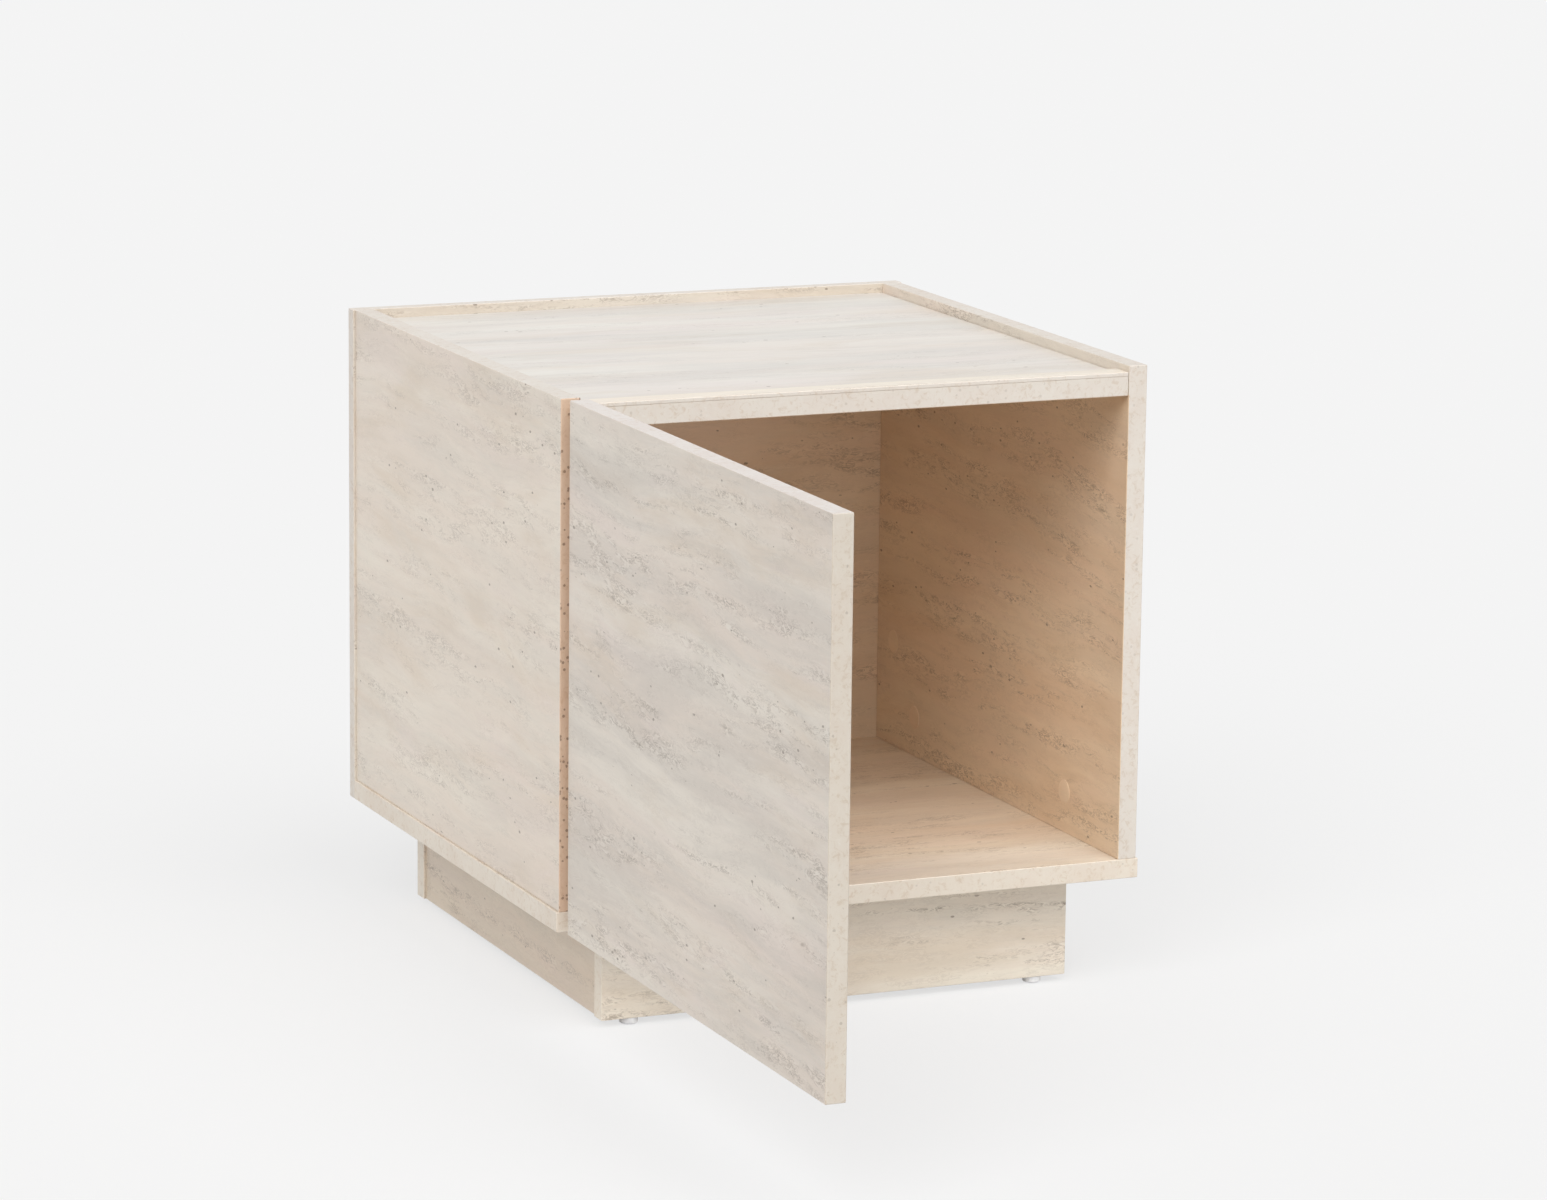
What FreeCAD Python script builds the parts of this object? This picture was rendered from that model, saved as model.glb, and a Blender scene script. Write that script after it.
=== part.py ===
import FreeCAD, Part
import os

# Storage side table: a boxed cabinet on a set-back plinth, with a sunk top and one hinged door.
# Millimetres, +Z up, +X to the right seen from the front, +Y to the back. The door stands open,
# square to the front. Pieces are shaped about the cabinet's own middle, and export moves them so
# that the origin is on the floor, under the middle of the cabinet and its open door.

Vector = FreeCAD.Vector

# Cabinet box
carcass_width = 500.0
carcass_depth = 488.0
carcass_height = 417.0
side_thickness = 16.0
base_thickness = 16.0
top_thickness = 16.0
back_thickness = 12.0
side_reveal = 2.0
rim_height = 8.0
top_side_gap = 0.4
lip_depth = 20.0
lip_rise = 3.0
lip_rebate = 0.5
lip_back_gap = 0.3
edge_ease = 0.8
ease_limit_share = 0.4

# Plinth and glides
plinth_height = 83.0
plinth_thickness = 16.0
plinth_side_setback = 49.0
plinth_front_setback = 29.0
plinth_back_setback = 32.0
plinth_reveal = 2.0
block_size = 32.0
block_drop = 12.0
block_screw_radius = 2.0
block_screw_head_radius = 4.0
block_screw_head_height = 2.5
block_screw_bite = 11.0
glide_height = 6.0
glide_radius = 7.4
glide_chamfer = 1.2
glide_end_distance = 26.0
glide_nail_radius = 1.2
glide_nail_length = 14.0

# Door
door_reveal = 2.0
door_thickness = 16.0
door_gap = 2.0
bumper_radius = 4.0
bumper_squash_room = 0.4
bumper_side_distance = 9.0
bumper_end_distance = 24.0

# Cam fasteners
cam_radius = 7.4
cam_height = 12.0
cam_bore_room = 0.5
cam_reach = 34.0
cam_slot_width = 2.0
cam_slot_length = 9.0
cam_slot_depth = 2.5
cam_front_distance = 100.0
cam_back_distance = 80.0
cam_rise = 92.0
cam_middle_offset = 120.0
cover_radius = 10.0
cover_thickness = 0.8
bolt_thread_radius = 2.5
bolt_thread_length = 9.0
bolt_shank_radius = 3.0
bolt_neck_radius = 2.0
bolt_neck_length = 4.0
bolt_head_radius = 3.2
bolt_head_length = 3.0
fastener_clearance = 0.1

# Dowels
dowel_radius = 4.0
dowel_half_length = 11.0
dowel_back_half_length = 8.0
dowel_front_distance = 50.0
dowel_back_distance = 140.0
dowel_low_rise = 160.0
dowel_high_rise = 300.0

# Hinges: places are measured in from the shut door's hinge edge, and back from its inner face
# or down into it
hinge_end_distance = 84.0
arm_outer_pin_inset = 29.0
arm_outer_pin_back = 7.0
arm_inner_pin_inset = 33.0
arm_inner_pin_back = 4.0
cup_outer_pin_inset = 6.8
cup_outer_pin_depth = 6.8
cup_inner_pin_inset = 8.5
cup_inner_pin_depth = 3.4
door_turn = 90.0
outer_link_turn = 20.0
arm_pin_radius = 1.3
cup_pin_radius = 1.0
pin_clearance = 0.05
link_width = 3.0
link_thickness = 4.0
link_side_gap = 0.3
link_eye_wall = 1.1
outer_link_sag = 7.25
inner_link_sag = 5.5
open_eye_play = 1.6
open_eye_lead_inset = 1.0
open_eye_lead_back = 0.7
open_eye_wall = 1.3
cheek_thickness = 1.5

# Hinge cup in the door
cup_radius = 17.5
cup_depth = 11.5
cup_wall = 1.0
cup_edge_distance = 2.0
cup_cheek_margin = 1.6
flange_width = 16.0
flange_thickness = 1.0
cup_screw_spacing = 48.0
flange_end_margin = 6.0
cup_screw_radius = 1.8
cup_screw_head_radius = 3.4
cup_screw_head_height = 0.5
cup_screw_bite = 10.0

# Hinge arm and its plate on the side
arm_nose_gap = 1.4
arm_end = 64.0
arm_low = 25.5
arm_high = 35.5
arm_web_thickness = 1.5
arm_web_start = 12.0
arm_rail_gap = 0.2
rail_start = 24.0
rail_end = 62.0
plate_thickness = 2.5
plate_length = 48.0
plate_width = 18.0
plate_setback = 39.0
plate_screw_spacing = 32.0
plate_screw_radius = 2.5
plate_screw_bite = 10.0
plate_screw_head_radius = 4.5
plate_screw_head_height = 1.5
arm_screw_radius = 2.2
arm_screw_bite = 6.0
arm_screw_head_radius = 3.2
arm_screw_head_height = 1.2
arm_screw_places = (30.0, 52.0)

# How far cuts run past the face they open
overrun = 1.0

# Levels and faces worked out from the sizes above
x_left = -carcass_width / 2
x_right = carcass_width / 2
y_front = -carcass_depth / 2
y_back = carcass_depth / 2
y_back_inner = y_back - back_thickness
z_base = glide_height + plinth_height
z_floor = z_base + base_thickness
z_rim = z_base + carcass_height
z_top = z_rim - rim_height
z_top_under = z_top - top_thickness
side_outer = carcass_width / 2 - side_reveal
side_inner = side_outer - side_thickness

RIGHT = Vector(1, 0, 0)
BACKWARD = Vector(0, 1, 0)
UP = Vector(0, 0, 1)


def block(low, high):
    """A plain box between two opposite corners."""
    size = high - low
    return Part.makeBox(size.x, size.y, size.z, low)


def board(low, high):
    """A panel with every arris eased, as edge-banded board is."""
    shape = block(low, high)
    size = high - low
    ease = min(edge_ease, ease_limit_share * min(size.x, size.y, size.z))
    return shape.makeFillet(ease, shape.Edges)


def rod(start, direction, length, radius):
    return Part.makeCylinder(radius, length, start, direction)


def union(shapes):
    first, *rest = shapes
    return first.fuse(rest).removeSplitter()


def drilled(shape, holes):
    return shape.cut(holes) if holes else shape


class Fixings:
    """Fasteners collected as they are placed, with the holes that each panel needs for them."""

    def __init__(self):
        self.cams = []
        self.bolts = []
        self.covers = []
        self.dowels = []
        self.holes = {}

    def hole(self, panel, shape):
        self.holes.setdefault(panel, []).append(shape)

    def cam_joint(self, panel, mate, face_point, into, towards, depth, covered):
        """A cam sunk in a panel's face, drawing on a bolt that stands in the mating panel."""
        centre = face_point + into * depth
        mate_point = centre + towards * cam_reach
        bore_radius = cam_radius + fastener_clearance
        bolt_hole_radius = bolt_head_radius + fastener_clearance
        self.hole(panel, rod(face_point - into * overrun, into, cam_height + cam_bore_room + overrun, bore_radius))
        self.hole(panel, rod(centre, towards, cam_reach + overrun, bolt_hole_radius))
        self.hole(mate, rod(mate_point - towards * overrun, towards, bolt_thread_length + overrun,
                            bolt_thread_radius + fastener_clearance))
        self.cams.append(cam(face_point, into, towards, centre))
        self.bolts.append(cam_bolt(centre, towards, mate_point))
        if covered:
            self.covers.append(rod(face_point, -into, cover_thickness, cover_radius))

    def dowel(self, panel, mate, point, towards, mate_length):
        """A round dowel glued half into each of two panels."""
        length = dowel_half_length + mate_length
        start = point - towards * dowel_half_length
        self.dowels.append(rod(start, towards, length, dowel_radius))
        hole = rod(start, towards, length, dowel_radius + fastener_clearance)
        self.hole(panel, hole)
        self.hole(mate, hole)


def cam(face_point, into, towards, centre):
    """Cam drum with a way in for the bolt's head and a driver slot in its face."""
    body = rod(face_point + into * fastener_clearance, into, cam_height, cam_radius)
    way_in = rod(centre - towards * bolt_head_radius, towards, cam_radius * 2,
                 bolt_head_radius + fastener_clearance)
    across = into.cross(towards)
    corner = face_point - towards * (cam_slot_width / 2) - across * (cam_slot_length / 2)
    far = (face_point + towards * (cam_slot_width / 2) + across * (cam_slot_length / 2)
           + into * cam_slot_depth)
    low = Vector(min(corner.x, far.x), min(corner.y, far.y), min(corner.z, far.z))
    high = Vector(max(corner.x, far.x), max(corner.y, far.y), max(corner.z, far.z))
    return body.cut([way_in, block(low, high)])


def cam_bolt(centre, towards, mate_point):
    """Bolt with its thread in the mating panel and its head in the cam."""
    head = rod(centre - towards * (bolt_head_length / 2), towards, bolt_head_length, bolt_head_radius)
    neck_start = centre + towards * (bolt_head_length / 2)
    neck = rod(neck_start, towards, bolt_neck_length, bolt_neck_radius)
    shank_start = neck_start + towards * bolt_neck_length
    shank = rod(shank_start, towards, (mate_point - shank_start).Length, bolt_shank_radius)
    thread = rod(mate_point, towards, bolt_thread_length, bolt_thread_radius)
    return union([head, neck, shank, thread])


def place_fixings(fixings):
    """Cams and dowels of the sides, the top and the base."""
    for name, hand in (("side_left", -1), ("side_right", 1)):
        outward = RIGHT * hand
        inner = hand * side_inner
        middle = inner + hand * side_thickness / 2
        for y in (y_front + cam_front_distance, y_back_inner - cam_back_distance):
            low = Vector(inner, y, z_floor + cam_reach)
            fixings.cam_joint(name, "base", low, outward, -UP, side_thickness / 2, True)
            edge = hand * (side_inner - top_side_gap)
            under = Vector(edge - hand * cam_reach, y, z_top_under)
            fixings.cam_joint("top", name, under, UP, outward, top_thickness / 2, True)
        rear = Vector(inner, y_back_inner - cam_reach, z_floor + cam_rise)
        fixings.cam_joint(name, "back", rear, outward, BACKWARD, side_thickness / 2, True)
        for y in (y_front + dowel_front_distance, y_back_inner - dowel_back_distance):
            fixings.dowel(name, "base", Vector(middle, y, z_floor), -UP, dowel_half_length)
            level = z_top_under + top_thickness / 2
            fixings.dowel("top", name, Vector(inner, y, level), outward, dowel_half_length)
        for rise in (dowel_low_rise, dowel_high_rise):
            rear = Vector(middle, y_back_inner, z_floor + rise)
            fixings.dowel(name, "back", rear, BACKWARD, dowel_back_half_length)
        under_base = Vector(hand * cam_middle_offset, y_back_inner - cam_reach, z_base)
        fixings.cam_joint("base", "back", under_base, UP, BACKWARD, base_thickness / 2, False)
        under_top = Vector(hand * cam_middle_offset, y_back_inner - cam_reach, z_top_under)
        fixings.cam_joint("top", "back", under_top, UP, BACKWARD, top_thickness / 2, True)


def carcass_panels():
    """The five boards of the box and the thin lip along the front of the top."""
    top_half = side_inner - top_side_gap
    lip_seat = z_top - lip_rebate
    top = board(Vector(-top_half, y_front, z_top_under), Vector(top_half, y_back_inner, z_top))
    rebate = block(Vector(-top_half - overrun, y_front - overrun, lip_seat),
                   Vector(top_half + overrun, y_front + lip_depth + lip_back_gap, z_top + overrun))
    return {
        "base": board(Vector(x_left, y_front, z_base), Vector(x_right, y_back_inner, z_floor)),
        "back": board(Vector(x_left, y_back_inner, z_base), Vector(x_right, y_back, z_rim)),
        "side_left": board(Vector(-side_outer, y_front, z_floor), Vector(-side_inner, y_back_inner, z_rim)),
        "side_right": board(Vector(side_inner, y_front, z_floor), Vector(side_outer, y_back_inner, z_rim)),
        "top": top.cut(rebate),
        "top_lip": board(Vector(-top_half, y_front, lip_seat),
                         Vector(top_half, y_front + lip_depth, z_top + lip_rise)),
    }


# Plinth faces
plinth_left = x_left + plinth_side_setback
plinth_right = x_right - plinth_side_setback
plinth_front = y_front + plinth_front_setback
plinth_back = y_back - plinth_back_setback


def glide_places():
    for y in (plinth_front + plinth_thickness / 2, plinth_back - plinth_thickness / 2):
        for x in (plinth_left + glide_end_distance, plinth_right - glide_end_distance):
            yield Vector(x, y, 0)


def plinth_boards():
    """Front and back boards run right across; the side boards stand between them, set in a little."""
    front = board(Vector(plinth_left, plinth_front, glide_height),
                  Vector(plinth_right, plinth_front + plinth_thickness, z_base))
    back = board(Vector(plinth_left, plinth_back - plinth_thickness, glide_height),
                 Vector(plinth_right, plinth_back, z_base))
    nails = [rod(place + UP * glide_height, UP, glide_nail_length, glide_nail_radius + fastener_clearance)
             for place in glide_places()]
    boards = {"plinth_front": front.cut(nails), "plinth_back": back.cut(nails)}
    for name, hand in (("plinth_left", 1), ("plinth_right", -1)):
        outer = (plinth_left if hand > 0 else plinth_right) + hand * plinth_reveal
        inner = outer + hand * plinth_thickness
        boards[name] = board(
            Vector(min(outer, inner), plinth_front + plinth_thickness, glide_height),
            Vector(max(outer, inner), plinth_back - plinth_thickness, z_base))
    return boards


def glide(place):
    """Round nail-on glide with a chamfered foot."""
    disc = rod(place, UP, glide_height, glide_radius)
    foot = [edge for edge in disc.Edges if edge.BoundBox.ZMax < glide_height / 2]
    nail = rod(place + UP * glide_height, UP, glide_nail_length, glide_nail_radius)
    return union([disc.makeChamfer(glide_chamfer, foot), nail])


def corner_blocks():
    """Glue blocks inside the plinth's corners, each holding one screw up into the base."""
    blocks = []
    screws = []
    low_z = glide_height + block_drop
    for hand, corner_x in ((1, plinth_left), (-1, plinth_right)):
        x = corner_x + hand * (plinth_reveal + plinth_thickness)
        for way, corner_y in ((1, plinth_front), (-1, plinth_back)):
            y = corner_y + way * plinth_thickness
            far_x = x + hand * block_size
            far_y = y + way * block_size
            shape = block(Vector(min(x, far_x), min(y, far_y), low_z),
                          Vector(max(x, far_x), max(y, far_y), z_base))
            foot = Vector((x + far_x) / 2, (y + far_y) / 2, low_z)
            length = z_base - low_z + block_screw_bite
            hole = rod(foot - UP * overrun, UP, length + overrun, block_screw_radius + fastener_clearance)
            blocks.append(shape.cut(hole))
            head = rod(foot - UP * block_screw_head_height, UP, block_screw_head_height,
                       block_screw_head_radius)
            screws.append(union([head, rod(foot, UP, length, block_screw_radius)]))
    return blocks, screws


def screw_holes_in_base():
    """Pilot holes for the screws that come up from the plinth's corner blocks."""
    for hand, corner_x in ((1, plinth_left), (-1, plinth_right)):
        x = corner_x + hand * (plinth_reveal + plinth_thickness + block_size / 2)
        for way, corner_y in ((1, plinth_front), (-1, plinth_back)):
            y = corner_y + way * (plinth_thickness + block_size / 2)
            yield rod(Vector(x, y, z_base - overrun), UP, block_screw_bite + overrun,
                      block_screw_radius + fastener_clearance)


# Door and hinges. Shut, the door lies along +X from its hinge edge; its turn about each hinge's
# outer cup pin, and that pin's swing about the outer arm pin, carry it to where it stands open.
door_width = carcass_width - 2 * door_reveal
door_edge = -door_width / 2
door_inner = y_front - door_gap
door_outer = door_inner - door_thickness
hinge_levels = (z_base + hinge_end_distance, z_rim - hinge_end_distance)
arm_outer_pin = Vector(door_edge + arm_outer_pin_inset, door_inner + arm_outer_pin_back, 0)
arm_inner_pin = Vector(door_edge + arm_inner_pin_inset, door_inner + arm_inner_pin_back, 0)
cup_outer_pin = Vector(door_edge + cup_outer_pin_inset, door_inner - cup_outer_pin_depth, 0)
cup_inner_pin = Vector(door_edge + cup_inner_pin_inset, door_inner - cup_inner_pin_depth, 0)
cup_centre = Vector(door_edge + cup_edge_distance + cup_radius, door_inner, 0)


def turned(point, centre, degrees):
    return FreeCAD.Rotation(UP, degrees).multVec(point - centre) + centre


cup_outer_pin_open = turned(cup_outer_pin, arm_outer_pin, outer_link_turn)


def opened(shape):
    """A piece of the shut door, carried to where the open door stands."""
    moved = shape.copy()
    moved.rotate(cup_outer_pin, UP, -door_turn)
    moved.translate(cup_outer_pin_open - cup_outer_pin)
    return moved


def opened_point(point):
    return turned(point, cup_outer_pin, -door_turn) + cup_outer_pin_open - cup_outer_pin


cup_inner_pin_open = opened_point(cup_inner_pin)


def at(point, level):
    return Vector(point.x, point.y, level)


def cup_screw_places(level):
    for way in (-1, 1):
        yield at(cup_centre, level + way * cup_screw_spacing / 2)


def door_panel():
    """Door board with a round pocket and two pilot holes for each hinge cup."""
    panel = board(Vector(door_edge, door_outer, z_base), Vector(door_edge + door_width, door_inner, z_rim))
    cuts = []
    for level in hinge_levels:
        mouth = at(cup_centre, level) + BACKWARD * overrun
        cuts.append(rod(mouth, -BACKWARD, cup_depth + overrun, cup_radius + fastener_clearance))
        for place in cup_screw_places(level):
            cuts.append(rod(place + BACKWARD * overrun, -BACKWARD, cup_screw_bite + overrun,
                            cup_screw_radius + fastener_clearance))
    return opened(panel.cut(cuts))


def bumpers():
    """Soft pads on the door's inner face that meet the cabinet's free-side edge."""
    x = door_edge + door_width - bumper_side_distance
    height = door_gap - bumper_squash_room
    return [opened(rod(Vector(x, door_inner, z), BACKWARD, height, bumper_radius))
            for z in (z_base + bumper_end_distance, z_rim - bumper_end_distance)]


cheek_start = link_thickness + 2 * link_side_gap


def layer(level, hand, near, far):
    """Low level and height of a slice that lies above or below a hinge's middle."""
    low = level + near if hand > 0 else level - far
    return low, far - near


def cup_cheek(pin, level, hand):
    """Upright inside the cup that carries one pin, from the cup's wall to just past the pin."""
    low, height = layer(level, hand, cheek_start, cheek_start + cheek_thickness)
    return block(Vector(cup_centre.x - cup_radius, door_inner - cup_depth, low),
                 Vector(pin.x + cup_cheek_margin, pin.y + cup_cheek_margin, low + height))


def hinge_cup(level):
    """Pressed cup with a mounting flange and the two uprights that hold its pins."""
    mouth = at(cup_centre, level)
    flange_reach = cup_screw_spacing / 2 + flange_end_margin
    outer = rod(mouth, -BACKWARD, cup_depth, cup_radius)
    hollow = rod(mouth + BACKWARD * (flange_thickness + overrun), -BACKWARD,
                 cup_depth - cup_wall + flange_thickness + overrun, cup_radius - cup_wall)
    flange = block(mouth - Vector(flange_width / 2, 0, flange_reach),
                   mouth + Vector(flange_width / 2, flange_thickness, flange_reach))
    cheeks = [cup_cheek(cup_outer_pin, level, 1), cup_cheek(cup_inner_pin, level, -1)]
    shell = union([outer, flange]).cut(hollow)
    shape = union([shell] + [cheek.common(outer) for cheek in cheeks])
    holes = [rod(place - BACKWARD * overrun, BACKWARD, flange_thickness + 2 * overrun,
                 cup_screw_radius + fastener_clearance) for place in cup_screw_places(level)]
    return opened(shape.cut(holes + cup_pins(level)))


def cup_pins(level):
    """Stub pins in the cup: the outer link's above the hinge's middle, the inner link's below."""
    return [link_pin(cup_outer_pin, level, 1, cup_pin_radius),
            link_pin(cup_inner_pin, level, -1, cup_pin_radius)]


def link_pin(place, level, hand, radius):
    low, height = layer(level, hand, link_side_gap, cheek_start + cheek_thickness)
    return rod(at(place, low), UP, height, radius)


def cup_screws(level):
    screws = []
    for place in cup_screw_places(level):
        seat = place + BACKWARD * flange_thickness
        head = rod(seat, BACKWARD, cup_screw_head_height, cup_screw_head_radius)
        shank = rod(seat, -BACKWARD, flange_thickness + cup_screw_bite, cup_screw_radius)
        screws.append(opened(union([head, shank])))
    return screws


def arc_band(start, end, sag, low):
    """A flat curved strip between two points, bowed to the right of the way from start to end."""
    along = end - start
    chord = along.Length
    radius = (chord * chord / 4 + sag * sag) / (2 * sag)
    bow = along.cross(UP).normalize()
    centre = (start + end) / 2 + bow * (sag - radius)
    ring = Part.makeCylinder(radius + link_width / 2, link_thickness, at(centre, low))
    ring = ring.cut(Part.makeCylinder(radius - link_width / 2, link_thickness, at(centre, low)))
    reach = radius + link_width
    corners = [centre, centre + (start - centre).normalize() * reach * 2,
               centre + bow * reach * 2, centre + (end - centre).normalize() * reach * 2]
    wedge = Part.Face(Part.makePolygon([at(corner, low) for corner in corners + corners[:1]]))
    return ring.common(wedge.extrude(UP * link_thickness))


def link(start, end, sag, level, hand, start_hole, end_hole, end_wall):
    """A curved hinge link with an eye at each end; start is on the cup and end on the arm."""
    low, _ = layer(level, hand, link_side_gap, link_side_gap + link_thickness)
    strip = arc_band(start, end, sag, low)
    eyes = [rod(at(start, low), UP, link_thickness, start_hole + link_eye_wall),
            rod(at(end, low), UP, link_thickness, end_hole + end_wall)]
    holes = [rod(at(start, low - overrun), UP, link_thickness + 2 * overrun, start_hole),
             rod(at(end, low - overrun), UP, link_thickness + 2 * overrun, end_hole)]
    return union([strip] + eyes).cut(holes)


def outer_link(level):
    return link(cup_outer_pin_open, arm_outer_pin, outer_link_sag, level, 1,
                cup_pin_radius + pin_clearance, arm_pin_radius + pin_clearance, link_eye_wall)


def inner_link(level):
    """This link's arm eye is wide, because it runs loose round its pin over the door's swing."""
    eye = arm_inner_pin - Vector(open_eye_lead_inset, open_eye_lead_back, 0)
    return link(cup_inner_pin_open, eye, inner_link_sag, level, -1,
                cup_pin_radius + pin_clearance, arm_pin_radius + open_eye_play, open_eye_wall)


def arm_pins(level):
    return [link_pin(arm_outer_pin, level, 1, arm_pin_radius),
            link_pin(arm_inner_pin, level, -1, arm_pin_radius)]


def arm_point(inset, back, level):
    return Vector(door_edge + inset, door_inner + back, level)


def side_point(out, back, level):
    """A place measured out from the side's inner face that carries the hinges."""
    return Vector(-side_inner + out, door_inner + back, level)


def hinge_arm(level):
    """Folded channel that reaches forward to the links and straddles the plate's rail."""
    cheeks = []
    for hand in (-1, 1):
        low, height = layer(level, hand, cheek_start, cheek_start + cheek_thickness)
        cheeks.append(block(arm_point(arm_low, arm_nose_gap, low),
                            arm_point(arm_high, arm_end, low + height)))
    half = cheek_start + cheek_thickness
    web = block(arm_point(arm_high - arm_web_thickness, arm_web_start, level - half),
                arm_point(arm_high, arm_end, level + half))
    holes = [rod(arm_point(arm_high + overrun, depth, level), -RIGHT, arm_web_thickness + 2 * overrun,
                 arm_screw_radius + fastener_clearance) for depth in arm_screw_places]
    return union(cheeks + [web]).cut(holes + arm_pins(level))


def hinge_plate(level):
    """Plate screwed to the side, with a raised rail that the arm clips over."""
    half_width = plate_width / 2
    wings = block(side_point(0, plate_setback - half_width, level - plate_length / 2),
                  side_point(plate_thickness, plate_setback + half_width, level + plate_length / 2))
    half_rail = cheek_start - arm_rail_gap
    rail_top = arm_high - arm_web_thickness - arm_rail_gap
    rail = block(side_point(0, rail_start, level - half_rail),
                 arm_point(rail_top, rail_end, level + half_rail))
    holes = [rod(side_point(-overrun, plate_setback, z), RIGHT, plate_thickness + 2 * overrun,
                 plate_screw_radius + fastener_clearance) for z in plate_screw_levels(level)]
    holes += [rod(arm_point(rail_top + overrun, depth, level), -RIGHT, arm_screw_bite + overrun,
                  arm_screw_radius + fastener_clearance) for depth in arm_screw_places]
    return union([wings, rail]).cut(holes)


def plate_screw_levels(level):
    return level - plate_screw_spacing / 2, level + plate_screw_spacing / 2


def plate_screws(level):
    screws = []
    for z in plate_screw_levels(level):
        seat = side_point(plate_thickness, plate_setback, z)
        head = rod(seat, RIGHT, plate_screw_head_height, plate_screw_head_radius)
        shank = rod(seat, -RIGHT, plate_thickness + plate_screw_bite, plate_screw_radius)
        screws.append(union([head, shank]))
    return screws


def plate_screw_holes():
    return [rod(side_point(overrun, plate_setback, z), -RIGHT, plate_screw_bite + overrun,
                plate_screw_radius + fastener_clearance)
            for level in hinge_levels for z in plate_screw_levels(level)]


def arm_screws(level):
    """Fixing screw and reach adjuster, driven through the arm's web into the rail."""
    screws = []
    rail_top = arm_high - arm_web_thickness - arm_rail_gap
    for depth in arm_screw_places:
        head = rod(arm_point(arm_high, depth, level), RIGHT, arm_screw_head_height, arm_screw_head_radius)
        shank = rod(arm_point(arm_high, depth, level), -RIGHT, arm_high - rail_top + arm_screw_bite,
                    arm_screw_radius)
        screws.append(union([head, shank]))
    return screws


def for_each_hinge(maker):
    """The pieces that one maker gives for both hinges, as one list."""
    pieces = []
    for level in hinge_levels:
        made = maker(level)
        pieces += made if isinstance(made, list) else [made]
    return pieces


def export(name, solids):
    """One STEP for a node, which may hold several like solids."""
    free_edge = opened_point(Vector(door_edge + door_width, door_outer, 0))
    middle = Vector(0, (free_edge.y + y_back) / 2, 0)
    shape = Part.makeCompound(solids) if len(solids) > 1 else solids[0].copy()
    shape.translate(-middle)
    shape.exportStep(f"parts/{name}.step")


def main():
    os.makedirs("parts", exist_ok=True)
    fixings = Fixings()
    place_fixings(fixings)
    for hole in screw_holes_in_base():
        fixings.hole("base", hole)
    for hole in plate_screw_holes():
        fixings.hole("side_left", hole)
    for name, panel in carcass_panels().items():
        export(name, [drilled(panel, fixings.holes.get(name))])
    for name, panel in plinth_boards().items():
        export(name, [panel])
    blocks, block_screws = corner_blocks()
    export("plinth_blocks", blocks)
    export("plinth_screws", block_screws)
    export("glides", [glide(place) for place in glide_places()])
    export("cam_locks", fixings.cams)
    export("cam_bolts", fixings.bolts)
    export("cam_covers", fixings.covers)
    export("dowels", fixings.dowels)
    export("door", [door_panel()])
    export("door_bumpers", bumpers())
    export("hinge_cups", for_each_hinge(hinge_cup))
    export("hinge_cup_pins", [opened(pin) for pin in for_each_hinge(cup_pins)])
    export("hinge_cup_screws", for_each_hinge(cup_screws))
    export("hinge_outer_links", for_each_hinge(outer_link))
    export("hinge_inner_links", for_each_hinge(inner_link))
    export("hinge_arms", for_each_hinge(hinge_arm))
    export("hinge_arm_pins", for_each_hinge(arm_pins))
    export("hinge_plates", for_each_hinge(hinge_plate))
    export("hinge_plate_screws", for_each_hinge(plate_screws))
    export("hinge_arm_screws", for_each_hinge(arm_screws))


main()
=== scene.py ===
import math

import bmesh
import bpy
from mathutils import Matrix, Vector


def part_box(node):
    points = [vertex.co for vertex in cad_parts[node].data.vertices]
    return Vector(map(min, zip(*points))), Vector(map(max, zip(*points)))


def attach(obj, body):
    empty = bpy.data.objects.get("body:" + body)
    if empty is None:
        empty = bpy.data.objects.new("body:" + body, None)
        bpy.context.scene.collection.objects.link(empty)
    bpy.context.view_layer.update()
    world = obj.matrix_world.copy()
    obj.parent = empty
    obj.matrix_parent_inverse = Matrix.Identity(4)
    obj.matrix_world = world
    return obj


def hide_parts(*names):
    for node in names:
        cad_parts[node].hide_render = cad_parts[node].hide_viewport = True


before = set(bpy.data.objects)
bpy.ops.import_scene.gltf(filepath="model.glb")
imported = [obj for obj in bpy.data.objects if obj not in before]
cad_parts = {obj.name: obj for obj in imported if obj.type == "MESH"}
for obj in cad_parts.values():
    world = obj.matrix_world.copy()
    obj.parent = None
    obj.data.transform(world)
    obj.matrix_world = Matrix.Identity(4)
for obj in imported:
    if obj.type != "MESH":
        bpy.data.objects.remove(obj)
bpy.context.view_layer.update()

# Storage side table: boards in a stone-print laminate, with small round fittings set by Geometry Nodes.
# Metres, in the part's own frame: +Z up, +Y to the back, the door standing open at the left.

scene = bpy.context.scene

# Camera, as the photograph was taken
camera_place = Vector((-1.8096, -4.0468, 1.2288))
camera_azimuth = math.radians(-23.2045)
camera_pitch = math.radians(90 - 11.4087)
camera_roll = math.radians(0.6523)
camera_lens_mm = 135.285
sensor_width_mm = 36.0

# Studio: each lamp's azimuth from straight in front to the right, its elevation and its spread,
# all in degrees, and its strength
LAMPS = {
    "key_light": (20.0, 54.0, 40.0, 1.20),
    "side_light": (-45.0, 42.0, 40.0, 1.69),
    "low_light": (2.0, 25.0, 40.0, 0.25),
}
room_strength = 0.32
background_grey = 0.94
floor_tone = 0.80
floor_half_width = 40.0
plain_floor_share = 0.72

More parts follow.
